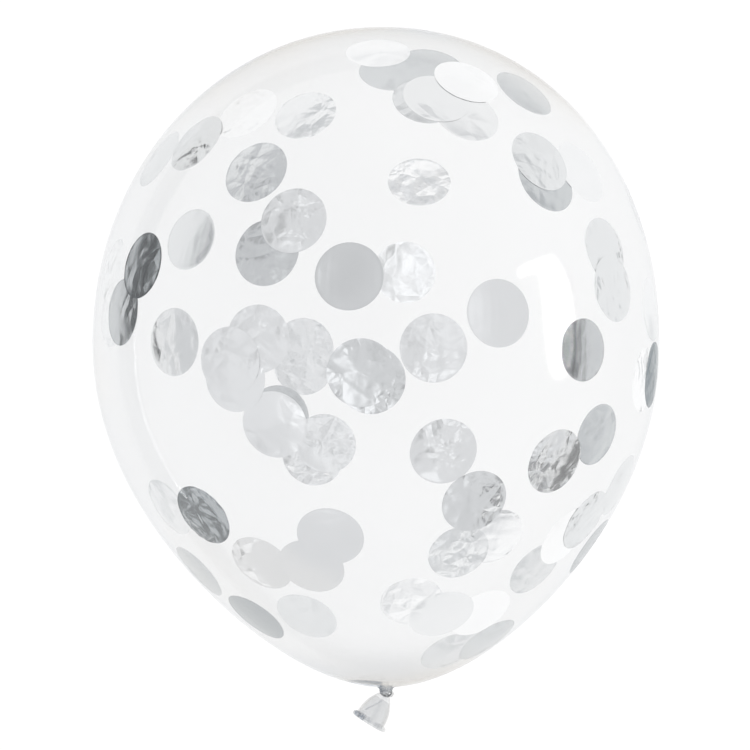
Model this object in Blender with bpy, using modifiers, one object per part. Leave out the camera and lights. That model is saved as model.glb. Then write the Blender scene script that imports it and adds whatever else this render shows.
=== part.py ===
"""A clear party balloon, blown up, knotted and lying on its side.

The balloon is one skin of latex: the body, the neck that is drawn into a knot, and the
short tail below it with its rolled lip. It is sealed, so the body is a solid here. The
long axis lies along Y, with the crown at +Y and the knot at -Y. The origin is on the
floor, in the middle of the small flat patch that the balloon rests on, under its widest
girth. Sizes are in metres.
"""

import math

import bpy

MM = 0.001

# Body
GIRTH_DIAMETER = 280 * MM
CROWN_LENGTH = 156 * MM
TAPER_LENGTH = 170 * MM
# The crown is a little fuller than an ellipse, whose power is 2.
CROWN_POWER = 2.06
# The lower half narrows to the neck by this share of its radius, ever faster.
TAPER_SHARE = 0.23
TAPER_POWER = 2.2
# The crown and the neck lie this far to the right of the widest girth, as the photo shows.
CROWN_BOW = 3.4 * MM
NECK_BOW = 4.9 * MM
BOW_POWER = 1.7
FLAT_DEPTH = 1.5 * MM

# Neck and knot
NECK_RADIUS = 3 * MM
NECK_FILLET = 2.5 * MM
NECK_LENGTH = 0.6 * MM
NECK_TIP = 2 * MM
KNOT_STRAND_RADIUS = 1.5 * MM
# The strand's own middle lies this far inside the neck's surface.
KNOT_BITE = 0.8 * MM
KNOT_TILT = math.radians(22)

# Tail
TAIL_LENGTH = 16.6 * MM
TAIL_ROOT_RADIUS = 1.6 * MM
TAIL_MOUTH_RADIUS = 7.8 * MM
TAIL_WALL = 0.6 * MM
TAIL_CLOSED_LENGTH = 4 * MM
TAIL_BELL_POWER = 2.6
TAIL_LEAN = math.radians(33)
LIP_RADIUS = 1.3 * MM

# Facets
ROUND_STEPS = 64
CROWN_RINGS = 20
TAPER_RINGS = 24
FILLET_RINGS = 4
KNOT_RING_STEPS = 28
KNOT_STRAND_STEPS = 12
TAIL_STEPS = 32
TAIL_RINGS = 10
LIP_RINGS = 10
MERGE_DISTANCE = 0.01 * MM
SHARP_ANGLE = math.radians(40)
HALVINGS = 50

LATEX_COLOUR = (0.91, 0.925, 0.935, 0.35)
LATEX_ROUGHNESS = 0.12

GIRTH_RADIUS = GIRTH_DIAMETER / 2
AXIS_HEIGHT = GIRTH_RADIUS - FLAT_DEPTH


def clear_scene():
    for item in list(bpy.data.objects):
        bpy.data.objects.remove(item, do_unlink=True)


def new_collection(name):
    collection = bpy.data.collections.new(name)
    bpy.context.scene.collection.children.link(collection)
    return collection


def latex_material():
    material = bpy.data.materials.new("clear_latex")
    material.use_nodes = True
    shader = material.node_tree.nodes["Principled BSDF"]
    shader.inputs["Base Color"].default_value = LATEX_COLOUR[:3] + (1,)
    shader.inputs["Alpha"].default_value = LATEX_COLOUR[3]
    shader.inputs["Roughness"].default_value = LATEX_ROUGHNESS
    shader.inputs["Metallic"].default_value = 0
    return material


def crown_radius(height):
    """Radius of the crown half, height being measured from the girth."""
    share = (height / CROWN_LENGTH) ** CROWN_POWER
    return GIRTH_RADIUS * max(0, 1 - share) ** (1 / CROWN_POWER)


def taper_radius(depth):
    """Radius of the lower half, depth being measured from the girth towards the neck."""
    share = depth / TAPER_LENGTH
    ellipse = math.sqrt(max(0, 1 - share**2))
    return GIRTH_RADIUS * ellipse * (1 - TAPER_SHARE * share**TAPER_POWER)


def taper_depth(radius):
    """How far below the girth the lower half has narrowed to this radius."""
    low, high = 0, TAPER_LENGTH
    for _ in range(HALVINGS):
        middle = (low + high) / 2
        if taper_radius(middle) > radius:
            low = middle
        else:
            high = middle
    return low


def fillet_top():
    """How far below the girth the fillet into the neck begins."""
    return taper_depth(NECK_RADIUS + NECK_FILLET)


def knot_depth():
    """How far below the girth the middle of the knot lies."""
    return fillet_top() + NECK_FILLET + NECK_LENGTH


def body_profile():
    """Radius and height of the body's outline, from the crown down to the knot."""
    points = [(0, CROWN_LENGTH)]
    for ring in range(1, CROWN_RINGS):
        height = CROWN_LENGTH * math.cos(math.pi / 2 * ring / CROWN_RINGS)
        points.append((crown_radius(height), height))
    last_angle = math.asin(fillet_top() / TAPER_LENGTH)
    for ring in range(TAPER_RINGS + 1):
        depth = TAPER_LENGTH * math.sin(last_angle * ring / TAPER_RINGS)
        points.append((taper_radius(depth), -depth))
    for ring in range(1, FILLET_RINGS + 1):
        turn = math.pi / 2 * ring / FILLET_RINGS
        radius = NECK_RADIUS + NECK_FILLET * (1 - math.sin(turn))
        depth = fillet_top() + NECK_FILLET * (1 - math.cos(turn))
        points.append((radius, -depth))
    # The neck goes on past the middle of the knot, so that the tail's root is buried in it.
    for ring in range(FILLET_RINGS + 1):
        turn = math.pi / 2 * ring / FILLET_RINGS
        points.append((NECK_RADIUS * math.cos(turn), -knot_depth() - NECK_TIP * math.sin(turn)))
    return points


def tail_radius(share):
    """Outer radius of the tail at a share of its length from the knot."""
    bell = 1 - (1 - share) ** TAIL_BELL_POWER
    return TAIL_ROOT_RADIUS + (TAIL_MOUTH_RADIUS - TAIL_ROOT_RADIUS) * bell


def tail_profile():
    """Radius and height of the open tail: down its outside, round the lip and up inside."""
    points = [(0, 0)]
    for ring in range(TAIL_RINGS):
        share = ring / TAIL_RINGS
        points.append((tail_radius(share), -TAIL_LENGTH * share))
    # The lip is a roll that the wall runs into, so its circle is open at the top.
    opening = math.asin(min(1, TAIL_WALL / LIP_RADIUS))
    for ring in range(LIP_RINGS + 1):
        turn = opening + (2 * math.pi - 2 * opening) * ring / LIP_RINGS
        radius = TAIL_MOUTH_RADIUS + LIP_RADIUS * math.sin(turn)
        height = -TAIL_LENGTH + LIP_RADIUS * math.cos(turn)
        points.append((radius, height))
    closed_share = TAIL_CLOSED_LENGTH / TAIL_LENGTH
    for ring in range(TAIL_RINGS, 0, -1):
        share = closed_share + (1 - closed_share) * (ring - 1) / TAIL_RINGS
        radius = tail_radius(share) - TAIL_WALL
        points.append((radius, -TAIL_LENGTH * share))
    points.append((0, -TAIL_CLOSED_LENGTH))
    return points


def turned(name, profile, steps, collection):
    """A solid turned about its own Z axis from a profile that starts and ends on it."""
    mesh = bpy.data.meshes.new(name)
    corners = [(radius, 0, height) for radius, height in profile]
    edges = [(first, first + 1) for first in range(len(corners) - 1)]
    mesh.from_pydata(corners, edges, [])
    solid = bpy.data.objects.new(name, mesh)
    collection.objects.link(solid)
    screw = solid.modifiers.new("Turn", "SCREW")
    screw.steps = steps
    screw.render_steps = steps
    screw.use_merge_vertices = True
    screw.merge_threshold = MERGE_DISTANCE
    return solid


def lay_down(solid, location, lean=0):
    """Turns a solid's own Z axis to the balloon's long axis, with a lean towards -X."""
    solid.location = location
    solid.rotation_euler = (-math.pi / 2, 0, -lean)


def baked(solid):
    """The solid as an evaluated mesh in world space, in place of its modifiers."""
    bpy.context.view_layer.update()
    graph = bpy.context.evaluated_depsgraph_get()
    mesh = bpy.data.meshes.new_from_object(solid.evaluated_get(graph))
    mesh.transform(solid.matrix_world)
    solid.modifiers.clear()
    solid.data = mesh
    solid.location = (0, 0, 0)
    solid.rotation_euler = (0, 0, 0)
    return solid


def boolean(solid, other, operation):
    modifier = solid.modifiers.new(operation.title(), "BOOLEAN")
    modifier.operation = operation
    modifier.solver = "EXACT"
    modifier.object = other
    other.hide_render = True
    other.display_type = "WIRE"


def knot_ring(collection):
    """The strand of the knot, a ring drawn tight round the neck at a slant."""
    bpy.ops.mesh.primitive_torus_add(
        major_radius=NECK_RADIUS - KNOT_BITE,
        minor_radius=KNOT_STRAND_RADIUS,
        major_segments=KNOT_RING_STEPS,
        minor_segments=KNOT_STRAND_STEPS,
        location=(0, -knot_depth(), AXIS_HEIGHT),
        rotation=(-math.pi / 2, KNOT_TILT, 0),
    )
    ring = bpy.context.object
    ring.name = "knot_ring"
    for owner in list(ring.users_collection):
        owner.objects.unlink(ring)
    collection.objects.link(ring)
    return ring


def floor_block(collection):
    """A cutter whose top is the floor, wider than the patch that it cuts flat."""
    bpy.ops.mesh.primitive_cube_add(size=GIRTH_DIAMETER)
    block = bpy.context.object
    block.name = "floor_block"
    block.location = (0, 0, -GIRTH_DIAMETER / 2)
    for owner in list(block.users_collection):
        owner.objects.unlink(block)
    collection.objects.link(block)
    return block


def bow_sideways(mesh):
    """Moves both ends to the right, with the girth left in place."""
    for vertex in mesh.vertices:
        if vertex.co.y > 0:
            bow, share = CROWN_BOW, vertex.co.y / CROWN_LENGTH
        else:
            bow, share = NECK_BOW, -vertex.co.y / TAPER_LENGTH
        vertex.co.x += bow * share**BOW_POWER


def build():
    clear_scene()
    parts = new_collection("balloon")
    cutters = new_collection("cutters")

    balloon = turned("balloon", body_profile(), ROUND_STEPS, parts)
    lay_down(balloon, (0, 0, AXIS_HEIGHT))
    tail = turned("tail", tail_profile(), TAIL_STEPS, cutters)
    lay_down(tail, (0, -knot_depth(), AXIS_HEIGHT), TAIL_LEAN)
    ring = knot_ring(cutters)

    boolean(balloon, ring, "UNION")
    boolean(balloon, tail, "UNION")
    baked(balloon)
    bow_sideways(balloon.data)
    boolean(balloon, floor_block(cutters), "DIFFERENCE")

    balloon.data.materials.clear()
    balloon.data.materials.append(latex_material())
    balloon.data.shade_smooth()
    balloon.data.set_sharp_from_angle(angle=SHARP_ANGLE)


build()
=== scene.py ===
"""Looks of a clear confetti balloon that lies on a pale floor.

The skin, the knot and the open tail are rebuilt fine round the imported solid, and the foil
confetti clings to the inside of the skin. Sizes are in metres and places are in the solid's
own frame: the long axis along Y, the crown at +Y, and the floor at Z = 0.
"""

import math
import random
from statistics import fmean
from typing import NamedTuple

import bmesh
import bpy
from mathutils import Matrix, Vector, noise
from mathutils.bvhtree import BVHTree


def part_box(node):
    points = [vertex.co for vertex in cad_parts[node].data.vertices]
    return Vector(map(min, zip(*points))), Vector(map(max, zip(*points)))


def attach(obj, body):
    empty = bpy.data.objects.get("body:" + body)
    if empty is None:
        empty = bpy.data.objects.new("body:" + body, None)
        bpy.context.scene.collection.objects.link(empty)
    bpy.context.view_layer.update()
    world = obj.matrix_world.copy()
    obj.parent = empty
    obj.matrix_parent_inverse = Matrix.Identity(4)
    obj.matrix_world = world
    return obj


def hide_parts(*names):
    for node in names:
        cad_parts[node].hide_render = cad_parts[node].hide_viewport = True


bl_info = {
    "name": "Confetti Balloon",
    "version": (1, 0, 0),
    "blender": (4, 5, 0),
    "location": "View3D > Sidebar > Balloon",
    "description": "Builds a clear latex balloon with foil confetti inside its skin",
    "category": "Add Mesh",
}

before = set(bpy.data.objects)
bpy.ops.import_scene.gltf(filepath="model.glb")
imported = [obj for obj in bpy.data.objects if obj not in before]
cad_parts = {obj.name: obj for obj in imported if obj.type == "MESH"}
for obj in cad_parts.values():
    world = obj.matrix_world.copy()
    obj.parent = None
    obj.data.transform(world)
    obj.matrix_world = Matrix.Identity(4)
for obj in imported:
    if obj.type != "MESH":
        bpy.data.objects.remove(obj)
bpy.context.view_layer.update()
MM = 0.001
# Vertices nearer to each other than this are one.
MERGE_DISTANCE = 0.002 * MM
# Vertices nearer to the long axis than this lie on it.
ON_AXIS = 0.1 * MM

# The solid's own box gives the girth, the crown's length and the height of the long axis.
LOW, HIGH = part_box("balloon")
GIRTH_RADIUS = (HIGH.x - LOW.x) / 2
CROWN_LENGTH = HIGH.y
AXIS_HEIGHT = HIGH.z - GIRTH_RADIUS

# The photograph's frame, in pixels: its side, the girth's width and the girth's middle.
PICTURE = 750
GIRTH_PIXELS = 566.5
GIRTH_ACROSS = 376
GIRTH_DOWN = 343
PIXELS_PER_METRE = GIRTH_PIXELS / (2 * GIRTH_RADIUS)

NEAR, FAR = "near", "far"


class Finish(NamedTuple):
    """How creased a piece of foil is: heights and sizes in millimetres."""

    folds: int
    fold_height: float
    ripple: float
    crumple: float
    crumple_size: float
    grain: float


SMOOTH = Finish(0, 0.0, 0.03, 0.0, 8, 0.12)
SOFT = Finish(4, 0.08, 0.12, 0.05, 9, 0.5)
CREASED = Finish(7, 0.16, 0.2, 0.25, 8, 0.85)
CRUMPLED = Finish(10, 0.22, 0.25, 0.5, 7, 1.0)

# How bright each disc's foil colour is made, next to the brightest: a painted reflection, darker
# where the disc would mirror darker surroundings.
BRIGHT = 1.0
PALE = 0.9
GREY = 0.8
ASHEN = 0.7
DUSKY = 0.62
DIM = 0.5
DARK = 0.18


class Disc(NamedTuple):
    """One piece of confetti: the pixel where its middle shows, and how it lies there.

    It may lean off its wall by some degrees, about a hinge turned round by some degrees.
    """

    across: float
    down: float
    wall: str
    finish: Finish
    # How bright the foil's colour is made: a painted reflection.
    tone: float = BRIGHT
    lean: float = 0
    hinge: float = 0


# A disc that overlaps an earlier one on the same wall lies on it, further inside.
CONFETTI = (
    Disc(433, 64, FAR, SMOOTH, ASHEN),
    Disc(391, 71, FAR, SOFT, ASHEN),
    Disc(378, 51, FAR, SMOOTH),
    Disc(424, 100, FAR, SOFT, GREY),
    Disc(525, 92, FAR, SMOOTH, ASHEN),
    Disc(467, 80, NEAR, SOFT),
    Disc(437, 97, NEAR, SOFT, PALE),
    Disc(467, 114, NEAR, SOFT, PALE),
    Disc(541, 160, NEAR, CREASED, GREY),
    Disc(582, 171, NEAR, SOFT, PALE),
    Disc(547, 180, NEAR, SOFT, DUSKY),
    Disc(615, 288, NEAR, CRUMPLED, GREY),
    Disc(607, 250, NEAR, CRUMPLED, GREY),
    Disc(652, 309, FAR, SMOOTH, PALE),
    Disc(654, 375, NEAR, CREASED, DARK),
    Disc(645, 380, FAR, CREASED),
    Disc(584, 350, FAR, SMOOTH, ASHEN),
    Disc(499, 313, NEAR, SMOOTH),
    Disc(434, 348, NEAR, CREASED),
    Disc(405, 272, FAR, SOFT),
    Disc(349, 276, NEAR, SMOOTH, PALE),
    Disc(420, 176, FAR, CREASED, BRIGHT, 15, 44),
    Disc(293, 220, NEAR, CREASED),
    Disc(266, 252, NEAR, CREASED, GREY),
    Disc(255, 171, NEAR, CREASED, GREY),
    Disc(305, 114, FAR, CREASED, PALE),
    Disc(195, 142, NEAR, CREASED, GREY),
    Disc(246, 112, NEAR, CREASED),
    Disc(158, 158, FAR, SOFT, GREY),
    Disc(190, 239, FAR, SMOOTH, GREY),
    Disc(141, 265, NEAR, SOFT, DIM),
    Disc(121, 312, NEAR, SOFT, DUSKY),
    Disc(112, 270, FAR, SOFT, PALE),
    Disc(111, 315, FAR, SOFT, PALE),
    Disc(173, 342, NEAR, SOFT, PALE),
    Disc(229, 361, NEAR, CREASED),
    Disc(257, 339, NEAR, CREASED),
    Disc(234, 378, NEAR, SOFT),
    Disc(303, 364, FAR, CREASED),
    Disc(303, 349, FAR, CREASED),
    Disc(361, 373, NEAR, CREASED, PALE),
    Disc(371, 380, NEAR, CREASED, PALE),
    Disc(274, 425, NEAR, SOFT),
    Disc(279, 416, FAR, SMOOTH, GREY),
    Disc(312, 457, FAR, CREASED),
    Disc(325, 444, FAR, CREASED),
    Disc(202, 516, NEAR, CRUMPLED, DIM),
    Disc(330, 537, NEAR, SMOOTH),
    Disc(311, 567, NEAR, SMOOTH),
    Disc(261, 564, NEAR, SOFT),
    Disc(306, 617, FAR, SOFT, GREY),
    Disc(255, 618, NEAR, SMOOTH, DIM),
    Disc(198, 572, FAR, SMOOTH, DUSKY),
    Disc(168, 508, FAR, SOFT, PALE),
    Disc(475, 502, NEAR, CREASED, PALE),
    Disc(444, 452, NEAR, CREASED),
    Disc(495, 537, FAR, SOFT),
    Disc(459, 553, FAR, CREASED, PALE),
    Disc(556, 462, NEAR, CREASED, PALE),
    Disc(598, 435, FAR, SOFT, DUSKY),
    Disc(587, 521, NEAR, CRUMPLED, GREY),
    Disc(566, 537, NEAR, SMOOTH),
    Disc(536, 569, FAR, SOFT, GREY),
    Disc(590, 547, FAR, SMOOTH, DIM),
    Disc(412, 602, FAR, SOFT),
    Disc(442, 615, NEAR, SOFT, PALE),
    Disc(481, 614, NEAR, SOFT),
    Disc(452, 652, FAR, SOFT, GREY),
    Disc(488, 641, FAR, SOFT, ASHEN),
    Disc(620, 486, NEAR, SOFT, GREY),
    Disc(637, 211, FAR, SMOOTH, GREY),
)


def length(name, description, default):
    """A length that a user may change."""
    return bpy.props.FloatProperty(
        name=name, description=description, default=default, min=0, precision=5, unit="LENGTH"
    )


def share(name, description, default):
    """A plain number that a user may change."""
    return bpy.props.FloatProperty(name=name, description=description, default=default)


def angle(name, description, degrees):
    """An angle that a user may change."""
    return bpy.props.FloatProperty(
        name=name, description=description, default=math.radians(degrees), subtype="ANGLE"
    )


def colour(name, description, default):
    """A colour that a user may change."""
    return bpy.props.FloatVectorProperty(
        name=name, description=description, default=default, min=0, max=1, subtype="COLOR"
    )


class SkinSettings(bpy.types.PropertyGroup):
    taper_length: length("Taper length", "From the widest girth down to the neck", 170 * MM)
    crown_power: share("Crown fullness", "2 is an ellipse and more is fuller", 2.06)
    taper_share: share("Taper", "How far the lower half narrows inside an ellipse", 0.23)
    taper_power: share("Taper onset", "How late the lower half narrows", 2.2)
    crown_bow: length("Crown bow", "How far the crown lies to the right", 3.4 * MM)
    neck_bow: length("Neck bow", "How far the neck lies to the right", 4.9 * MM)
    bow_power: share("Bow power", "How late the long axis bends", 1.7)
    neck_radius: length("Neck radius", "Radius of the neck above the knot", 3 * MM)
    neck_fillet: length("Neck fillet", "Radius between the body and the neck", 2.5 * MM)
    neck_length: length("Neck length", "Between the fillet and the knot's middle", 0.6 * MM)
    neck_tip: length("Neck tip", "How far the neck reaches into the knot", 2 * MM)
    pleat_depth: length("Pleat depth", "Depth of the gathers round the neck", 0.5 * MM)
    pleat_reach: length("Pleat reach", "How far the gathers run up the body", 9 * MM)


class KnotSettings(bpy.types.PropertyGroup):
    strand_radius: length("Strand radius", "Radius of the knotted strand", 1.5 * MM)
    bite: length("Bite", "How far the strand's middle lies inside the neck", 0.8 * MM)
    tilt: angle("Tilt", "Slant of the strand round the neck", 22)


class TailSettings(bpy.types.PropertyGroup):
    length: length("Length", "From the knot to the lip", 16.6 * MM)
    root_radius: length("Root radius", "Radius at the knot", 1.6 * MM)
    mouth_radius: length("Mouth radius", "Radius at the lip", 7.8 * MM)
    wall: length("Wall", "Thickness of the tail's wall", 0.6 * MM)
    closed_length: length("Closed length", "How far the tail is drawn shut", 4 * MM)
    bell_power: share("Bell", "How soon the tail flares", 2.6)
    lean: angle("Lean", "How far the tail leans to the left", 33)
    lip_radius: length("Lip radius", "Radius of the rolled lip", 1.25 * MM)
    fold_depth: length("Fold depth", "Depth of the folds in the tail", 0.9 * MM)


class ConfettiSettings(bpy.types.PropertyGroup):
    diameter: length("Diameter", "Diameter of a piece of foil", 32.4 * MM)
    thickness: length("Thickness", "Thickness of the foil", 0.03 * MM)
    gap: length("Gap", "Between the foil and what it clings to", 0.04 * MM)


class FinishSettings(bpy.types.PropertyGroup):
    latex_colour: colour("Latex", "Colour of the film of latex", (0.53, 0.55, 0.57))
    latex_warm: colour("Warm latex", "Colour where it is a little yellow", (0.62, 0.53, 0.40))
    latex_thick: colour("Thick latex", "Colour where the latex is gathered", (0.34, 0.38, 0.44))
    latex_clear: colour("Clear latex", "Colour of light that passes it", (0.975, 0.975, 0.975))
    foil_colour: colour("Foil", "Colour of the bright foil", (0.965, 0.968, 0.972))
    # A painted reflection: the dark colour the foil is blended towards, standing in for the dark
    # that a disc mirrors.
    painted_dark_reflection: colour("Dark foil", "Colour of foil that mirrors the dark", (0.015, 0.06, 0.085))
    floor_colour: colour("Floor", "Colour of the floor", (0.9, 0.9, 0.9))


class StageSettings(bpy.types.PropertyGroup):
    camera_distance: length("Camera distance", "From the long axis up to the camera", 2.5)
    sensor: share("Sensor", "Width of the camera's sensor, in millimetres", 36)
    floor_side: length("Floor side", "Side of the square floor", 60)


class Value:
    """A shader socket on which arithmetic adds Math nodes."""

    def __init__(self, nodes, node, output=0):
        self.nodes, self.node, self.output = nodes, node, output

    @property
    def socket(self):
        return self.node.outputs[self.output]

    def out(self, name):
        """Another output of the same node."""
        return Value(self.nodes, self.node, name)

    def maths(self, operation, *operands):
        settings = {"operation": operation}
        return self.nodes.add("ShaderNodeMath", settings, dict(enumerate(operands)))

    def __add__(self, other):
        return self.maths("ADD", self, other)

    def __sub__(self, other):
        return self.maths("SUBTRACT", self, other)

    def __rsub__(self, other):
        return self.maths("SUBTRACT", other, self)

    def __mul__(self, other):
        return self.maths("MULTIPLY", self, other)

    def __pow__(self, other):
        return self.maths("POWER", self, other)

    def clipped(self):
        return self.maths("MINIMUM", self.maths("MAXIMUM", self, 0), 1)

    __radd__ = __add__
    __rmul__ = __mul__


class Nodes:
    """Adds nodes to a material or a world: settings first, then values or links."""

    def __init__(self, owner):
        owner.use_nodes = True
        self.tree = owner.node_tree
        self.tree.nodes.clear()

    def add(self, kind, settings=None, sockets=None, output=0):
        node = self.tree.nodes.new(kind)
        for name, value in (settings or {}).items():
            setattr(node, name, value)
        for name, value in (sockets or {}).items():
            if isinstance(value, Value):
                self.tree.links.new(value.socket, node.inputs[name])
            else:
                node.inputs[name].default_value = value
        return Value(self, node, output)

    def rise(self, value, start, end):
        """0 where value is below start, 1 above end, and smooth between them."""
        settings = {"interpolation_type": "SMOOTHSTEP"}
        sockets = {"Value": value, "From Min": start, "From Max": end}
        return self.add("ShaderNodeMapRange", settings, sockets)

    def blend(self, factor, first, second):
        """A colour between two others."""
        sockets = {"Factor": factor, 6: first, 7: second}
        return self.add("ShaderNodeMix", {"data_type": "RGBA"}, sockets, output=2)

    def place(self):
        """Where a point lies on the balloon, in metres."""
        return self.add("ShaderNodeTexCoord", output="Object")

    def facets(self, place, scale):
        """Flat-sided cells between sharp creases, as in crumpled foil, on a flat sheet."""
        settings = {"feature": "DISTANCE_TO_EDGE", "voronoi_dimensions": "2D"}
        return self.add("ShaderNodeTexVoronoi", settings, {"Vector": place, "Scale": scale})

    def noise(self, place, scale, detail=2.0, roughness=0.5, distortion=0.0, kind="FBM"):
        settings = {"noise_type": kind}
        if kind == "FBM":
            settings["normalize"] = True
        sockets = {
            "Vector": place, "Scale": scale, "Detail": detail,
            "Roughness": roughness, "Distortion": distortion,
        }
        return self.add("ShaderNodeTexNoise", settings, sockets)


def on_axis_plane(across, down):
    """Where a pixel lies on the level plane through the long axis: its X and Y."""
    return (across - GIRTH_ACROSS) / PIXELS_PER_METRE, (GIRTH_DOWN - down) / PIXELS_PER_METRE


def opaque(rgb):
    return (*rgb, 1)


# A fold in the skin runs down to the left of the neck, between two places in the photograph.
FOLD_TOP = (343, 680)
FOLD_END = (381, 683)


def fold_mask(nodes, across, along):
    """1 below the fold beside the neck and 0 elsewhere, darkest along the fold itself."""
    left, top = on_axis_plane(*FOLD_TOP)
    right, end = on_axis_plane(*FOLD_END)
    line = top + (across - left) * ((end - top) / (right - left))
    below = line - along
    reach = nodes.rise(across, left - 2 * MM, left + 8 * MM)
    return nodes.rise(below, 0, 0.5 * MM) * (1 - 0.6 * nodes.rise(below, 0, 2.5 * MM)) * reach * (
        1 - nodes.rise(across, right - MM, right + 2 * MM)
    )


class Film(NamedTuple):
    """How dense a grey film of latex looks: all over, and more at its edge, crown and neck."""

    plain: float
    edge: float
    crown: float = 0
    neck: float = 0


SKIN_FILM = Film(0.05, 0.4, 0.55, 0.42)
KNOT_FILM = Film(0.1, 0.25)
TAIL_FILM = Film(0.07, 0.15)

# Where the film changes along the balloon, or across it for the last: from none to full.
NECK_BAND = (-0.145, -0.185)
NECK_END = (-0.1722, -0.1732)
LOWER_BAND = (-0.06, -0.15)
CROWN_BAND = (0.10, 0.14)
LEFT_SHADE_BAND = (0.08, -0.13)
# How fine the film's faint clouds are: more is finer.
CLOUD_SCALE = 10
# The skin turns rougher by this much, over this much height below the long axis.
FADED_GLOSS = 0.7
FADE_HEIGHT = 20 * MM


def latex_material(name, looks, film, gloss, folded=False):
    """Clear latex: a thin grey film, which is denser where the latex is gathered."""
    material = bpy.data.materials.new(name)
    nodes = Nodes(material)
    facing = nodes.add("ShaderNodeLayerWeight", None, {"Blend": 0.5}, output="Facing")
    thick = nodes.add("ShaderNodeAttribute", {"attribute_name": "thick"}, output="Fac")
    place = nodes.place()
    axes = nodes.add("ShaderNodeSeparateXYZ", None, {"Vector": place})
    across, along, up = axes.out("X"), axes.out("Y"), axes.out("Z")
    if folded:
        thick = thick + 0.9 * fold_mask(nodes, across, along)
    neck = nodes.rise(along, *NECK_BAND) * (1 - nodes.rise(along, *NECK_END))
    crown = nodes.rise(along, *CROWN_BAND)
    left = nodes.rise(across, *LEFT_SHADE_BAND)
    cloud = nodes.noise(place, CLOUD_SCALE, 1.0)
    # A soft band a little inside the outline, on the left only, is made denser: painted shade.
    band = nodes.rise(facing, 0.45, 0.49) - nodes.rise(facing, 0.56, 0.62)
    crown_edge = film.crown * facing ** 8 + 0.2 * film.crown * facing ** 3
    edge = film.edge * facing ** 12 + crown * crown_edge + 0.05 * band * left
    lower = 0.06 * film.neck * nodes.rise(along, *LOWER_BAND)
    # Towards the left the film is made denser: painted shade, the left side darker as the light
    # falls.
    density = film.plain * (0.75 + 0.95 * left + 0.4 * nodes.rise(facing, 0.3, 0.6))
    density = density + edge + lower + film.neck * neck
    density = (density * (0.8 + 0.4 * cloud) + 0.8 * thick).clipped()
    warm = 1.5 * nodes.rise(cloud, 0.5, 0.6) * facing ** 3
    base = nodes.blend(warm.clipped(), opaque(looks.latex_colour), opaque(looks.latex_warm))
    base = nodes.blend((thick * 1.3 + 0.8 * facing ** 6).clipped(), base, opaque(looks.latex_thick))
    latex = nodes.add("ShaderNodeBsdfPrincipled", None, {
        "Base Color": base,
        "Roughness": gloss + FADED_GLOSS * nodes.rise(up, AXIS_HEIGHT, AXIS_HEIGHT - FADE_HEIGHT),
        "IOR": 1.5,
        "Specular IOR Level": 0.35,
    })
    clear = nodes.add("ShaderNodeBsdfTransparent", None, {"Color": opaque(looks.latex_clear)})
    surface = nodes.add("ShaderNodeMixShader", None, {0: density, 1: clear, 2: latex})
    nodes.add("ShaderNodeOutputMaterial", None, {"Surface": surface})
    return material


# How fine the foil's patterns are: more is finer.
MOTTLE_SCALE = 45
FACET_SCALE = 85
SMALL_FACET_SCALE = 260
STREAK_SCALE = 75
BUMP_DEPTH = 0.9 * MM


def foil_material(looks):
    """Bright foil, smooth in places and creased into small facets in others."""
    material = bpy.data.materials.new("silver_foil")
    nodes = Nodes(material)
    tone = nodes.add("ShaderNodeAttribute", {"attribute_name": "tone"}, output="Fac")
    grain = nodes.add("ShaderNodeAttribute", {"attribute_name": "grain"}, output="Fac")
    sheet = nodes.add("ShaderNodeAttribute", {"attribute_name": "sheet"}, output="Vector")
    mottle = nodes.noise(sheet, MOTTLE_SCALE, 1.0)
    # Each disc's foil colour is darkened by its own amount: a painted reflection of the darker
    # surroundings it would mirror.
    shade = (tone * (0.97 + 0.06 * mottle)).clipped()
    base = nodes.blend(shade, opaque(looks.painted_dark_reflection), opaque(looks.foil_colour))
    facets = nodes.facets(sheet, FACET_SCALE)
    small_facets = nodes.facets(sheet, SMALL_FACET_SCALE)
    streaks = nodes.noise(sheet, STREAK_SCALE, 2.0, 0.6, 1.2, "RIDGED_MULTIFRACTAL")
    creased = grain * nodes.rise(mottle, 0.4, 0.58)
    height = creased * (1.6 * facets + 0.3 * grain * small_facets + 0.5 * streaks)
    bump = nodes.add(
        "ShaderNodeBump", None, {"Strength": 1.0, "Distance": BUMP_DEPTH, "Height": height}
    )
    foil = nodes.add("ShaderNodeBsdfPrincipled", None, {
        "Base Color": base,
        "Metallic": 1.0,
        "Roughness": 0.16 + 0.12 * mottle,
        "Normal": bump,
    })
    nodes.add("ShaderNodeOutputMaterial", None, {"Surface": foil})
    return material


def bow(height, skin):
    """How far the long axis lies to the right at a height above the girth."""
    if height > 0:
        return skin.crown_bow * (height / CROWN_LENGTH) ** skin.bow_power
    return skin.neck_bow * (-height / skin.taper_length) ** skin.bow_power


def crown_radius(height, skin):
    """Radius of the crown half at a height above the girth."""
    reach = (height / CROWN_LENGTH) ** skin.crown_power
    return GIRTH_RADIUS * max(0, 1 - reach) ** (1 / skin.crown_power)


def taper_radius(depth, skin):
    """Radius of the lower half at a depth below the girth."""
    reach = depth / skin.taper_length
    ellipse = math.sqrt(max(0, 1 - reach**2))
    return GIRTH_RADIUS * ellipse * (1 - skin.taper_share * reach**skin.taper_power)


HALVINGS = 50


def fillet_top(skin):
    """How far below the girth the fillet into the neck begins."""
    low, high = 0, skin.taper_length
    for _ in range(HALVINGS):
        middle = (low + high) / 2
        if taper_radius(middle, skin) > skin.neck_radius + skin.neck_fillet:
            low = middle
        else:
            high = middle
    return low


def knot_depth(skin):
    """How far below the girth the middle of the knot lies."""
    return fillet_top(skin) + skin.neck_fillet + skin.neck_length


SKIN_STEPS = 192
CROWN_RINGS = 60
TAPER_RINGS = 72
FILLET_RINGS = 10
PLEATS = 17


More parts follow.
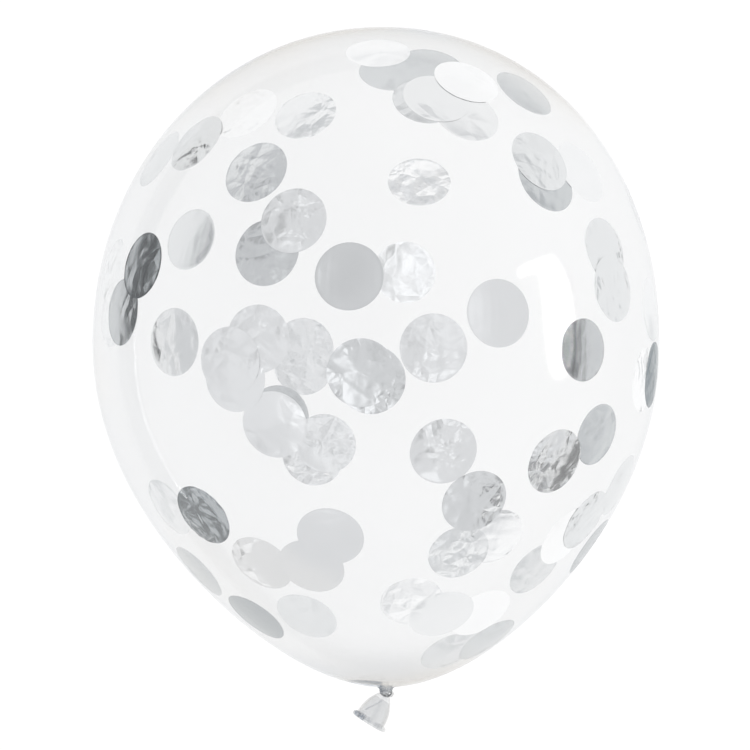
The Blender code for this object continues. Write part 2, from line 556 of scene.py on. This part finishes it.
def skin_profile(skin):
    """Places along the skin's outline, in the XY plane, from the crown to inside the knot."""
    places = []
    for ring in range(CROWN_RINGS):
        height = CROWN_LENGTH * math.cos(math.pi / 2 * ring / CROWN_RINGS)
        places.append((crown_radius(height, skin), height))
    top = fillet_top(skin)
    last = math.asin(top / skin.taper_length)
    for ring in range(TAPER_RINGS + 1):
        depth = skin.taper_length * math.sin(last * ring / TAPER_RINGS)
        places.append((taper_radius(depth, skin), -depth))
    for ring in range(1, FILLET_RINGS + 1):
        turn = math.pi / 2 * ring / FILLET_RINGS
        radius = skin.neck_radius + skin.neck_fillet * (1 - math.sin(turn))
        places.append((radius, -top - skin.neck_fillet * (1 - math.cos(turn))))
    for ring in range(FILLET_RINGS + 1):
        turn = math.pi / 2 * ring / FILLET_RINGS
        tip = knot_depth(skin) + skin.neck_tip * math.sin(turn)
        places.append((skin.neck_radius * math.cos(turn), -tip))
    return places


def spin(shape, places, axis, steps):
    """Turns a line of places in the XY plane a full circle, and returns the new vertices."""
    before = set(shape.verts)
    corners = [shape.verts.new((*place, 0)) for place in places]
    edges = [shape.edges.new(pair) for pair in zip(corners, corners[1:])]
    bmesh.ops.spin(
        shape, geom=corners + edges, cent=(0, 0, 0), axis=axis,
        angle=math.tau, steps=steps, use_merge=True, use_duplicate=False,
    )
    fresh = [vertex for vertex in shape.verts if vertex not in before]
    bmesh.ops.remove_doubles(shape, verts=fresh, dist=MERGE_DISTANCE)
    return [vertex for vertex in shape.verts if vertex not in before]


def turned(places, steps):
    """A closed bmesh turned about the Y axis from a profile that starts and ends on it."""
    shape = bmesh.new()
    spin(shape, places, (0, 1, 0), steps)
    bmesh.ops.recalc_face_normals(shape, faces=shape.faces)
    return shape


def set_down(shape, skin):
    """Bows a shape as the long axis is bowed, and lays it at the long axis's height."""
    for vertex in shape.verts:
        vertex.co.x += bow(vertex.co.y, skin)
        vertex.co.z = max(0, vertex.co.z + AXIS_HEIGHT)


def finished(shape, name, material):
    """Makes a bmesh a smooth piece that rides on the balloon."""
    mesh = bpy.data.meshes.new(name)
    shape.to_mesh(mesh)
    shape.free()
    mesh.shade_smooth()
    mesh.materials.append(material)
    piece = bpy.data.objects.new(name, mesh)
    bpy.context.scene.collection.objects.link(piece)
    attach(piece, "root")
    return piece


def pleat(shape, skin):
    """Gathers the skin round the neck, most where it is drawn into the knot."""
    end = knot_depth(skin)
    thick = shape.verts.layers.float.new("thick")
    for vertex in shape.verts:
        around = math.atan2(vertex.co.z, vertex.co.x)
        radius = math.hypot(vertex.co.x, vertex.co.z)
        if vertex.co.y > -end / 2 or radius < ON_AXIS:
            continue
        fade = math.exp(-max(0, radius - skin.neck_radius) / skin.pleat_reach)
        wander = noise.noise(Vector((3 * math.cos(around), 3 * math.sin(around), 0)))
        ripple = 0.5 - 0.5 * math.cos(PLEATS * around + 4 * wander)
        depth = skin.pleat_depth * fade * ripple * (0.6 + 0.8 * abs(wander))
        vertex[thick] = 0.24 * fade**3 * (0.3 + ripple) * (vertex.co.y > -end)
        vertex.co.y += depth
        scale = 1 - min(0.25, depth / radius)
        vertex.co.x *= scale
        vertex.co.z *= scale


class BALLOON_OT_skin(bpy.types.Operator):
    """Builds the clear skin, from the crown to the neck"""

    bl_idname = "balloon.make_skin"
    bl_label = "Make the skin"

    def execute(self, context):
        skin, looks = context.scene.balloon_skin, context.scene.balloon_looks
        shape = turned(skin_profile(skin), SKIN_STEPS)
        pleat(shape, skin)
        set_down(shape, skin)
        material = latex_material("clear_latex", looks, SKIN_FILM, gloss=0.05, folded=True)
        piece = finished(shape, "balloon_skin", material)
        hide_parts("balloon")
        return {"FINISHED"}


KNOT_STEPS = 72
STRAND_STEPS = 16
# The second strand is smaller and paler, and hangs to the right of the first and below it.
LOOP_PLACE = (1.3 * MM, -0.9 * MM, 0.6 * MM)
LOOP_RING_SHARE = 0.75
LOOP_STRAND_SHARE = 0.8
LOOP_DARK = 0.25


def wind_strand(shape, ring_radius, strand_radius, tilt, middle, dark):
    """Adds a creased strand wound once round the neck, as dark as is said on its left."""
    # Only the strand's outer half is made, because its inner half lies inside the neck.
    places = [(0, strand_radius)]
    for step in range(STRAND_STEPS + 1):
        turn = math.pi / 2 - math.pi * step / STRAND_STEPS
        radius = ring_radius + strand_radius * math.cos(turn)
        places.append((radius, strand_radius * math.sin(turn)))
    places.append((0, -strand_radius))
    strand = spin(shape, places, (0, 1, 0), KNOT_STEPS)
    bmesh.ops.recalc_face_normals(shape, faces=shape.faces)
    thick = shape.verts.layers.float["thick"]
    for vertex in strand:
        around = math.atan2(vertex.co.z, vertex.co.x)
        core = Vector((math.cos(around), 0, math.sin(around))) * ring_radius
        out = vertex.co - core
        across = math.atan2(out.y, out.dot(core) / ring_radius)
        crease = 0.5 + 0.5 * math.cos(4 * across + 3 * around)
        vertex.co = core + out * (1 - 0.2 * crease**2)
        vertex[thick] = dark * (0.02 + 0.1 * crease**2 + 0.26 * max(0, -math.cos(around)))
    turn = Matrix.Translation(middle) @ Matrix.Rotation(tilt, 4, "Z")
    bmesh.ops.transform(shape, matrix=turn, verts=strand)


class BALLOON_OT_knot(bpy.types.Operator):
    """Builds the strand of the knot, drawn tight round the neck"""

    bl_idname = "balloon.make_knot"
    bl_label = "Make the knot"

    def execute(self, context):
        scene = context.scene
        skin, knot = scene.balloon_skin, scene.balloon_knot
        shape = bmesh.new()
        shape.verts.layers.float.new("thick")
        ring_radius = skin.neck_radius - knot.bite
        strand_radius = knot.strand_radius
        wind_strand(shape, ring_radius, strand_radius, -knot.tilt, Vector((0, 0, 0)), 1)
        ring_radius *= LOOP_RING_SHARE
        strand_radius *= LOOP_STRAND_SHARE
        wind_strand(shape, ring_radius, strand_radius, knot.tilt, Vector(LOOP_PLACE), LOOP_DARK)
        bmesh.ops.translate(shape, vec=(0, -knot_depth(skin), 0), verts=shape.verts)
        set_down(shape, skin)
        material = latex_material("knot_latex", scene.balloon_looks, KNOT_FILM, gloss=0.12)
        piece = finished(shape, "balloon_knot", material)
        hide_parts("balloon")
        return {"FINISHED"}


TAIL_STEPS = 128
TAIL_RINGS = 40
LIP_RINGS = 24
# One crease runs aslant down the tail: where it starts and ends, its slope and its width.
CREASE_START = 0.25
CREASE_END = 0.75
CREASE_TOP = 0.26
CREASE_SLOPE = 0.55
CREASE_WIDTH = 0.4 * MM


def tail_radius(reach, tail):
    """Outer radius of the tail at a share of its length from the knot."""
    bell = 1 - (1 - reach) ** tail.bell_power
    return tail.root_radius + (tail.mouth_radius - tail.root_radius) * bell


def tail_profile(tail):
    """Places along the open tail: down its outside, round the lip and up its inside."""
    opening = math.asin(min(1, tail.wall / tail.lip_radius))
    # Both sides of the wall end where the lip's open circle begins.
    last = 1 - tail.lip_radius * math.cos(opening) / tail.length
    places = [(0, 0)]
    for ring in range(TAIL_RINGS):
        reach = last * ring / TAIL_RINGS
        places.append((tail_radius(reach, tail), -tail.length * reach))
    for ring in range(LIP_RINGS + 1):
        turn = opening + (2 * math.pi - 2 * opening) * ring / LIP_RINGS
        radius = tail.mouth_radius + tail.lip_radius * math.sin(turn)
        places.append((radius, -tail.length + tail.lip_radius * math.cos(turn)))
    closed = tail.closed_length / tail.length
    for ring in range(TAIL_RINGS, 0, -1):
        reach = closed + (last - closed) * (ring - 1) / TAIL_RINGS
        places.append((tail_radius(reach, tail) - tail.wall, -tail.length * reach))
    places.append((0, -tail.closed_length))
    return places


def fold_tail(shape, tail):
    """Draws folds down the tail, from the knot towards the lip, which stays round."""
    thick = shape.verts.layers.float.new("thick")
    for vertex in shape.verts:
        reach = -vertex.co.y / tail.length
        radius = math.hypot(vertex.co.x, vertex.co.z)
        around = math.atan2(vertex.co.z, vertex.co.x)
        if reach > 1 - tail.lip_radius / tail.length:
            mottle = noise.noise(Vector((11 * math.cos(around), 11 * math.sin(around), 0)))
            left = 0.5 - 0.5 * math.cos(around)
            vertex[thick] = (0.24 + 0.8 * left**3) * max(0.25, 0.5 + 2 * mottle)
            continue
        if radius < ON_AXIS:
            continue
        fade = math.sin(math.pi * min(1, max(0, reach))) ** 0.7
        wave = 0.6 * math.cos(3 * around + 0.7 + reach)
        wave += 0.4 * math.cos(7 * around + 2 - 2 * reach)
        depth = tail.fold_depth * fade * (0.5 - 0.5 * wave)
        scale = 1 - min(0.35, depth / radius)
        vertex.co.x *= scale
        vertex.co.z *= scale
        run = CREASE_SLOPE * (tail.length * (reach - CREASE_TOP))
        slant = (vertex.co.x + run) / CREASE_WIDTH
        crease = math.exp(-slant**2) * (CREASE_START < reach < CREASE_END) * (vertex.co.z > 0)
        root = max(0, 1 - reach * tail.length / tail.closed_length)
        vertex[thick] = 0.05 + 0.1 * max(0, -wave) ** 2 + 0.25 * crease + 0.05 * min(1, 3 * root)


class BALLOON_OT_tail(bpy.types.Operator):
    """Builds the short tail below the knot, with its rolled lip"""

    bl_idname = "balloon.make_tail"
    bl_label = "Make the tail"

    def execute(self, context):
        scene = context.scene
        skin, tail = scene.balloon_skin, scene.balloon_tail
        shape = turned(tail_profile(tail), TAIL_STEPS)
        fold_tail(shape, tail)
        lean = Matrix.Rotation(-tail.lean, 4, "Z")
        place = Matrix.Translation((0, -knot_depth(skin), 0))
        bmesh.ops.transform(shape, matrix=place @ lean, verts=shape.verts)
        set_down(shape, skin)
        material = latex_material("tail_latex", scene.balloon_looks, TAIL_FILM, gloss=0.1)
        piece = finished(shape, "balloon_tail", material)
        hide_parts("balloon")
        return {"FINISHED"}


DISC_STEPS = 84
DISC_RINGS = 20
# How far inside the skin the rays start that feel for it.
REACH = 50 * MM
# An edge that bends by more than this stays sharp.
RIM_ANGLE = math.radians(60)
SETTLINGS = 18


def eye(stage):
    """Where the camera stands, straight above the balloon."""
    middle = on_axis_plane(PICTURE / 2, PICTURE / 2)
    return Vector((*middle, AXIS_HEIGHT + stage.camera_distance))


def wall_place(tree, disc, stage):
    """Where the line of sight through a disc's pixel meets its wall, and that wall's normal."""
    start = eye(stage)
    target = Vector((*on_axis_plane(disc.across, disc.down), AXIS_HEIGHT))
    sight = (target - start).normalized()
    place, normal, _, _ = tree.ray_cast(start, sight)
    if disc.wall == FAR and place is not None:
        place, normal, _, _ = tree.ray_cast(place + sight * MM, sight)
    if place is None:
        raise RuntimeError(f"the disc at {disc.across}, {disc.down} misses the skin")
    return place, normal


# Folds wander off their straight lines by up to this, over this distance.
FOLD_WANDER = 2 * MM
WANDER_SIZE = 11 * MM
RIPPLE_SIZE = 9 * MM
# The pattern of fine creases is bent by up to this, over this distance.
PATTERN_BEND = 2.5 * MM
BEND_SIZE = 13 * MM


def foil_relief(finish, radius, draws):
    """How far the creased foil stands from its wall, as a function of a place on the disc."""
    folds = []
    for _ in range(finish.folds):
        turn = draws.uniform(0, math.tau)
        offset = draws.uniform(-0.7, 0.7) * radius
        rise = draws.choice((-1, 1)) * draws.uniform(0.4, 1) * finish.fold_height * MM
        width = draws.uniform(0.8, 3) * MM
        folds.append((math.cos(turn), math.sin(turn), offset, rise, width))
    origin = Vector([draws.uniform(-50, 50) for _ in range(3)])
    cell = finish.crumple_size * MM

    def relief(x, y):
        spot = Vector((x, y, 0))
        wander = FOLD_WANDER * noise.noise(spot / WANDER_SIZE + origin)
        total = finish.ripple * MM * noise.noise(spot / RIPPLE_SIZE - origin)
        for cosine, sine, offset, rise, width in folds:
            across = abs(x * cosine + y * sine - offset + wander)
            along = (y * cosine - x * sine) / radius
            total += rise * math.exp(-across / width) * max(0, 1 - 0.5 * abs(along))
        if finish.crumple:
            distances, _ = noise.voronoi((spot + Vector((wander, -wander, 0))) / cell + origin)
            total += finish.crumple * MM * (distances[1] - distances[0])
        return total

    return relief


def drape(shape, place, normal, confetti, walls, heights):
    """Lays a flat disc against the innermost of the walls, with its creases standing inside."""
    reaches, covered = {}, {}
    for vertex in shape.verts:
        start = place + vertex.co - normal * REACH
        skin_reach, *others = [wall.ray_cast(start, normal)[3] for wall in walls]
        if skin_reach is None:
            raise RuntimeError("a disc hangs over the end of the skin")
        others = [reach for reach in others if reach is not None]
        reaches[vertex] = min([skin_reach, *others])
        covered[vertex] = min(1, len(others))
    around = {
        vertex: [edge.other_vert(vertex) for edge in vertex.link_edges] for vertex in shape.verts
    }
    levels = {
        vertex: min(reaches[corner] for corner in (vertex, *around[vertex]))
        for vertex in shape.verts
    }
    # Foil rises gently on to what it overlaps, and takes its creases from that.
    for _ in range(SETTLINGS if len(walls) > 1 else 0):
        levels = {
            vertex: min(levels[vertex], fmean(levels[corner] for corner in around[vertex]))
            for vertex in shape.verts
        }
        covered = {
            vertex: max(covered[vertex], fmean(covered[corner] for corner in around[vertex]))
            for vertex in shape.verts
        }
    lowest = min(heights.values())
    for vertex in shape.verts:
        crease = (heights[vertex] - lowest) * (1 - covered[vertex])
        depth = levels[vertex] - confetti.gap - crease
        vertex.co = place + vertex.co + normal * (depth - REACH)


def foil_disc(place, normal, disc, confetti, walls, draws):
    """A bmesh of one disc that follows the wall and what lies on it, with its creases."""
    radius = confetti.diameter / 2
    shape = bmesh.new()
    places = [(radius * ring / DISC_RINGS, 0) for ring in range(DISC_RINGS + 1)]
    spin(shape, places, (0, 0, 1), DISC_STEPS)
    sheet = shape.verts.layers.float_vector.new("sheet")
    start = Vector((draws.uniform(0, 9), draws.uniform(0, 9), 0))
    for vertex in shape.verts:
        bend = noise.noise_vector(vertex.co / BEND_SIZE + start)
        vertex[sheet] = start + vertex.co + PATTERN_BEND * bend
    relief = foil_relief(disc.finish, radius, draws)
    heights = {vertex: relief(vertex.co.x, vertex.co.y) for vertex in shape.verts}
    turn = Matrix.Rotation(draws.uniform(0, math.tau), 3, "Z")
    basis = normal.to_track_quat("Z", "Y").to_matrix() @ turn
    bmesh.ops.transform(shape, matrix=basis.to_4x4(), verts=shape.verts)
    drape(shape, place, normal, confetti, walls, heights)
    if disc.lean:
        inward = -normal
        hinge = Vector((0, 0, 1)).cross(inward).normalized()
        hinge = Matrix.Rotation(math.radians(disc.hinge), 3, inward) @ hinge
        edge = place + hinge.cross(inward) * radius
        swing = Matrix.Rotation(math.radians(disc.lean), 3, hinge)
        bmesh.ops.rotate(shape, cent=edge, matrix=swing, verts=shape.verts)
    bmesh.ops.recalc_face_normals(shape, faces=shape.faces)
    return shape


def thicken(shape, thickness):
    """Gives a sheet its thickness, with a rim that stays sharp when it is shaded smooth."""
    parts = [*shape.verts, *shape.edges, *shape.faces]
    bmesh.ops.solidify(shape, geom=parts, thickness=thickness)
    for edge in shape.edges:
        edge.smooth = edge.calc_face_angle(0) < RIM_ANGLE


# Unless it is seeded, the noise that bends the pattern of creases is another in each run.
NOISE_SEED = 1


class BALLOON_OT_confetti(bpy.types.Operator):
    """Lays the foil discs against the inside of the skin"""

    bl_idname = "balloon.scatter_confetti"
    bl_label = "Scatter the confetti"

    def execute(self, context):
        scene = context.scene
        confetti = scene.balloon_confetti
        skin_shape = bmesh.new()
        skin_shape.from_mesh(bpy.data.objects["balloon_skin"].data)
        tree = BVHTree.FromBMesh(skin_shape)
        material = foil_material(scene.balloon_looks)
        noise.seed_set(NOISE_SEED)
        laid = []
        for number, disc in enumerate(CONFETTI, start=1):
            draws = random.Random(number)
            place, normal = wall_place(tree, disc, scene.balloon_stage)
            near = [other for where, other in laid if (where - place).length < confetti.diameter]
            shape = foil_disc(place, normal, disc, confetti, [tree, *near], draws)
            laid.append((place, BVHTree.FromBMesh(shape)))
            thicken(shape, confetti.thickness)
            piece = finished(shape, f"confetti_{number:02d}", material)
            count = len(piece.data.vertices)
            # Each disc carries its painted reflection and how creased it is.
            for name, value in (("tone", disc.tone), ("grain", disc.finish.grain)):
                attribute = piece.data.attributes.new(name, "FLOAT", "POINT")
                attribute.data.foreach_set("value", [value] * count)
        skin_shape.free()
        return {"FINISHED"}


class Card(NamedTuple):
    """A card round the balloon that only reflections see. Azimuth 0 is on the right."""

    azimuth: float
    distance: float
    width: float
    low: float
    high: float
    light: float


CARDS = (
    Card(168, 0.45, 0.46, 0.00, 0.145, 0.05),
    Card(221, 0.45, 0.16, 0.00, 0.12, 0.40),
    Card(335, 0.42, 0.22, 0.10, 0.19, 0.20),
    Card(75, 0.60, 0.8, 0.00, 0.28, 1.08),
    Card(247, 0.60, 0.34, 0.00, 0.26, 0.86),
)
# What the foil mirrors of the floor, a little brighter than the floor itself.
FLOOR_GLOW = 1.15
# How far below the balloon the floor lies, and the glow just above it.
FLOOR_GAP = 0.3 * MM
GLOW_GAP = 0.2 * MM


class Lamp(NamedTuple):
    """A light that shows in the skin's gloss alone, on an upright plane beside the balloon."""

    azimuth: float
    distance: float
    along: float
    height: float
    width: float
    tall: float
    light: float
    shape: str = "RECTANGLE"


LAMPS = (
    Lamp(9, 0.98, -0.06, 0.43, 0.54, 0.28, 230, "ELLIPSE"),
    Lamp(9, 0.98, 0.185, 0.60, 0.06, 0.26, 230),
    Lamp(9, 0.98, -0.05, 0.63, 0.44, 0.16, 8),
    Lamp(196, 0.36, 0.008, 0.103, 0.26, 0.012, 9),
)


def glow_material(name, light):
    """An even white glow, for what only reflections see."""
    material = bpy.data.materials.new(name)
    nodes = Nodes(material)
    glow = nodes.add("ShaderNodeEmission", None, {"Color": (1, 1, 1, 1), "Strength": light})
    nodes.add("ShaderNodeOutputMaterial", None, {"Surface": glow})
    return material


# The floor's base is its colour times these, least and most, and it glows this much.
FLOOR_LEVELS = (0.30, 0.32)
FLOOR_EMISSION = 0.82


def floor_material(looks):
    """A pale floor that glows a little, so that it stays white under the balloon."""
    material = bpy.data.materials.new("floor")
    nodes = Nodes(material)
    mottle = nodes.noise(nodes.place(), 3)
    shades = [opaque([level * part for part in looks.floor_colour]) for level in FLOOR_LEVELS]
    base = nodes.blend(mottle, *shades)
    surface = nodes.add("ShaderNodeBsdfPrincipled", None, {
        "Base Color": base,
        "Roughness": 0.9,
        "Specular IOR Level": 0.0,
        "Emission Color": (1, 1, 1, 1),
        "Emission Strength": FLOOR_EMISSION,
    })
    nodes.add("ShaderNodeOutputMaterial", None, {"Surface": surface})
    return material


class Patch(NamedTuple):
    """A round light or a dark gap overhead: its place and half its width, in degrees."""

    azimuth: float
    elevation: float
    half_width: float
    light: float


SKY_LIGHT = 0.80
SKY_COLOUR = (0.98, 0.99, 1.005)
# Below the horizon, a soft step this high, there is a little more light.
GROUND_EXTRA = 0.1
HORIZON = 0.04
# A patch fades between these shares of its half width.
PATCH_CORE = 0.7
PATCH_EDGE = 1.3
PATCHES = (
    Patch(330, 52, 9, 1.15),
    Patch(228, 60, 13, 1.3),
    Patch(30, 72, 6, 0.95),
    Patch(68, 47, 12, 1.0),
    Patch(150, 55, 8, 1.1),
    Patch(197, 36, 15, 0.9),
    Patch(108, 24, 8, 1.1),
    Patch(288, 30, 8, 1.1),
    Patch(243, 34, 8, 1.2),
    Patch(340, 18, 8, 1.1),
    Patch(14, 55, 9, 0.98),
    Patch(140, 26, 6, 0.4),
    Patch(280, 58, 7, 0.4),
    Patch(120, 66, 12, 0.70),
    Patch(172, 18, 6, 0.6),
    Patch(318, 5, 10, 0.25),
    Patch(45, 27, 6, 0.4),
    Patch(350, 86, 4, 0.5),
    Patch(218, 18, 6, 0.6),
)


def studio_world():
    """An even grey sky with round lights and dark gaps, which the camera sees as white."""
    world = bpy.data.worlds.new("studio")
    bpy.context.scene.world = world
    nodes = Nodes(world)
    toward = nodes.add("ShaderNodeTexCoord", output="Generated")
    up = nodes.add("ShaderNodeSeparateXYZ", None, {"Vector": toward}, output="Z")
    light = SKY_LIGHT + GROUND_EXTRA * nodes.rise(up, HORIZON, -HORIZON)
    for patch in PATCHES:
        side, tall = math.radians(patch.azimuth), math.radians(patch.elevation)
        middle = (math.cos(side) * math.cos(tall), math.sin(side) * math.cos(tall), math.sin(tall))
        near = nodes.add(
            "ShaderNodeVectorMath", {"operation": "DOT_PRODUCT"}, {0: toward, 1: middle},
            output="Value",
        )
        edge = math.cos(math.radians(patch.half_width * PATCH_EDGE))
        core = math.cos(math.radians(patch.half_width * PATCH_CORE))
        light = light + (patch.light - light) * nodes.rise(near, edge, core)
    sky = nodes.add("ShaderNodeBackground", None, {"Color": opaque(SKY_COLOUR), "Strength": light})
    white = nodes.add("ShaderNodeBackground", None, {"Color": (1, 1, 1, 1), "Strength": 1.0})
    seen = nodes.add("ShaderNodeLightPath", output="Is Camera Ray")
    both = nodes.add("ShaderNodeMixShader", None, {0: seen, 1: sky, 2: white})
    nodes.add("ShaderNodeOutputWorld", None, {"Surface": both})


def hang_lamp(number, lamp, latex):
    """Adds an area light that only the pieces in the latex collection catch, as gloss."""
    light = bpy.data.lights.new(f"lamp_{number}", "AREA")
    light.shape = lamp.shape
    light.size = lamp.width
    light.size_y = lamp.tall
    area = lamp.width * lamp.tall
    if lamp.shape == "ELLIPSE":
        area *= math.pi / 4
    light.energy = lamp.light * math.pi * area
    holder = bpy.data.objects.new(f"lamp_{number}", light)
    stand = Matrix.Rotation(math.radians(lamp.azimuth), 4, "Z")
    place = Matrix.Translation((lamp.distance, lamp.along, lamp.height))
    upright = Vector((-1, 0, 0)).to_track_quat("-Z", "Y").to_matrix().to_4x4()
    holder.matrix_world = stand @ place @ upright
    holder.light_linking.receiver_collection = latex
    holder.visible_camera = False
    holder.visible_diffuse = False
    bpy.context.scene.collection.objects.link(holder)


def stage_plane(name, width, depth, matrix, material):
    """A flat stage object, which is not attached to the balloon."""
    shape = bmesh.new()
    bmesh.ops.create_grid(shape, x_segments=1, y_segments=1, size=0.5)
    bmesh.ops.scale(shape, vec=(width, depth, 1), verts=shape.verts)
    bmesh.ops.transform(shape, matrix=matrix, verts=shape.verts)
    mesh = bpy.data.meshes.new(name)
    shape.to_mesh(mesh)
    shape.free()
    mesh.materials.append(material)
    plane = bpy.data.objects.new(name, mesh)
    bpy.context.scene.collection.objects.link(plane)
    return plane


def reflected_only(plane):
    """Leaves a stage object to be seen in reflections alone."""
    plane.visible_camera = False
    plane.visible_diffuse = False
    plane.visible_shadow = False
    plane.visible_transmission = False


class BALLOON_OT_stage(bpy.types.Operator):
    """Sets the pale floor, the cards, the sky and the camera"""

    bl_idname = "balloon.set_stage"
    bl_label = "Set the stage"

    def execute(self, context):
        scene = context.scene
        stage, looks = scene.balloon_stage, scene.balloon_looks
        below = Matrix.Translation((0, 0, -FLOOR_GAP))
        side = stage.floor_side
        stage_plane("floor", side, side, below, floor_material(looks))
        for number, card in enumerate(CARDS, start=1):
            height = card.high - card.low
            stand = Matrix.Rotation(math.radians(card.azimuth - 90), 4, "Z")
            stand @= Matrix.Translation((0, card.distance, (card.high + card.low) / 2))
            stand @= Matrix.Rotation(math.radians(90), 4, "X")
            glow = glow_material(f"card_{number}", card.light)
            reflected_only(stage_plane(f"card_{number}", card.width, height, stand, glow))
        glow = glow_material("floor_glow", FLOOR_GLOW)
        above = Matrix.Translation((0, 0, -GLOW_GAP))
        reflected_only(stage_plane("floor_glow", side, side, above, glow))
        latex = bpy.data.collections.new("latex")
        latex.objects.link(bpy.data.objects["balloon_skin"])
        for number, lamp in enumerate(LAMPS, start=1):
            hang_lamp(number, lamp, latex)
        studio_world()
        scene.view_settings.view_transform = "Standard"
        camera = bpy.data.cameras.new("camera")
        camera.sensor_width = stage.sensor
        camera.lens = PIXELS_PER_METRE * stage.camera_distance * stage.sensor / PICTURE
        camera.clip_end = 100
        holder = bpy.data.objects.new("camera", camera)
        holder.location = eye(stage)
        scene.collection.objects.link(holder)
        scene.camera = holder
        return {"FINISHED"}


class BALLOON_PT_panel(bpy.types.Panel):
    """Lists the balloon's pieces and the stage"""

    bl_idname = "BALLOON_PT_panel"
    bl_label = "Confetti balloon"
    bl_space_type = "VIEW_3D"
    bl_region_type = "UI"
    bl_category = "Balloon"

    def draw(self, context):
        for operator in OPERATORS:
            self.layout.operator(operator.bl_idname)
        for name, group in SETTINGS.items():
            box = self.layout.box()
            for setting in group.__annotations__:
                box.prop(getattr(context.scene, name), setting)


SETTINGS = {
    "balloon_skin": SkinSettings,
    "balloon_knot": KnotSettings,
    "balloon_tail": TailSettings,
    "balloon_confetti": ConfettiSettings,
    "balloon_looks": FinishSettings,
    "balloon_stage": StageSettings,
}
OPERATORS = (
    BALLOON_OT_skin,
    BALLOON_OT_knot,
    BALLOON_OT_tail,
    BALLOON_OT_confetti,
    BALLOON_OT_stage,
)


def register():
    for group in SETTINGS.values():
        bpy.utils.register_class(group)
    for item in (*OPERATORS, BALLOON_PT_panel):
        bpy.utils.register_class(item)
    for name, group in SETTINGS.items():
        setattr(bpy.types.Scene, name, bpy.props.PointerProperty(type=group))


def unregister():
    for name in SETTINGS:
        delattr(bpy.types.Scene, name)
    for item in (BALLOON_PT_panel, *reversed(OPERATORS)):
        bpy.utils.unregister_class(item)
    for group in reversed(list(SETTINGS.values())):
        bpy.utils.unregister_class(group)


def main():
    register()
    bpy.ops.balloon.make_skin()
    bpy.ops.balloon.make_knot()
    bpy.ops.balloon.make_tail()
    bpy.ops.balloon.scatter_confetti()
    bpy.ops.balloon.set_stage()


if __name__ == "__main__":
    main()
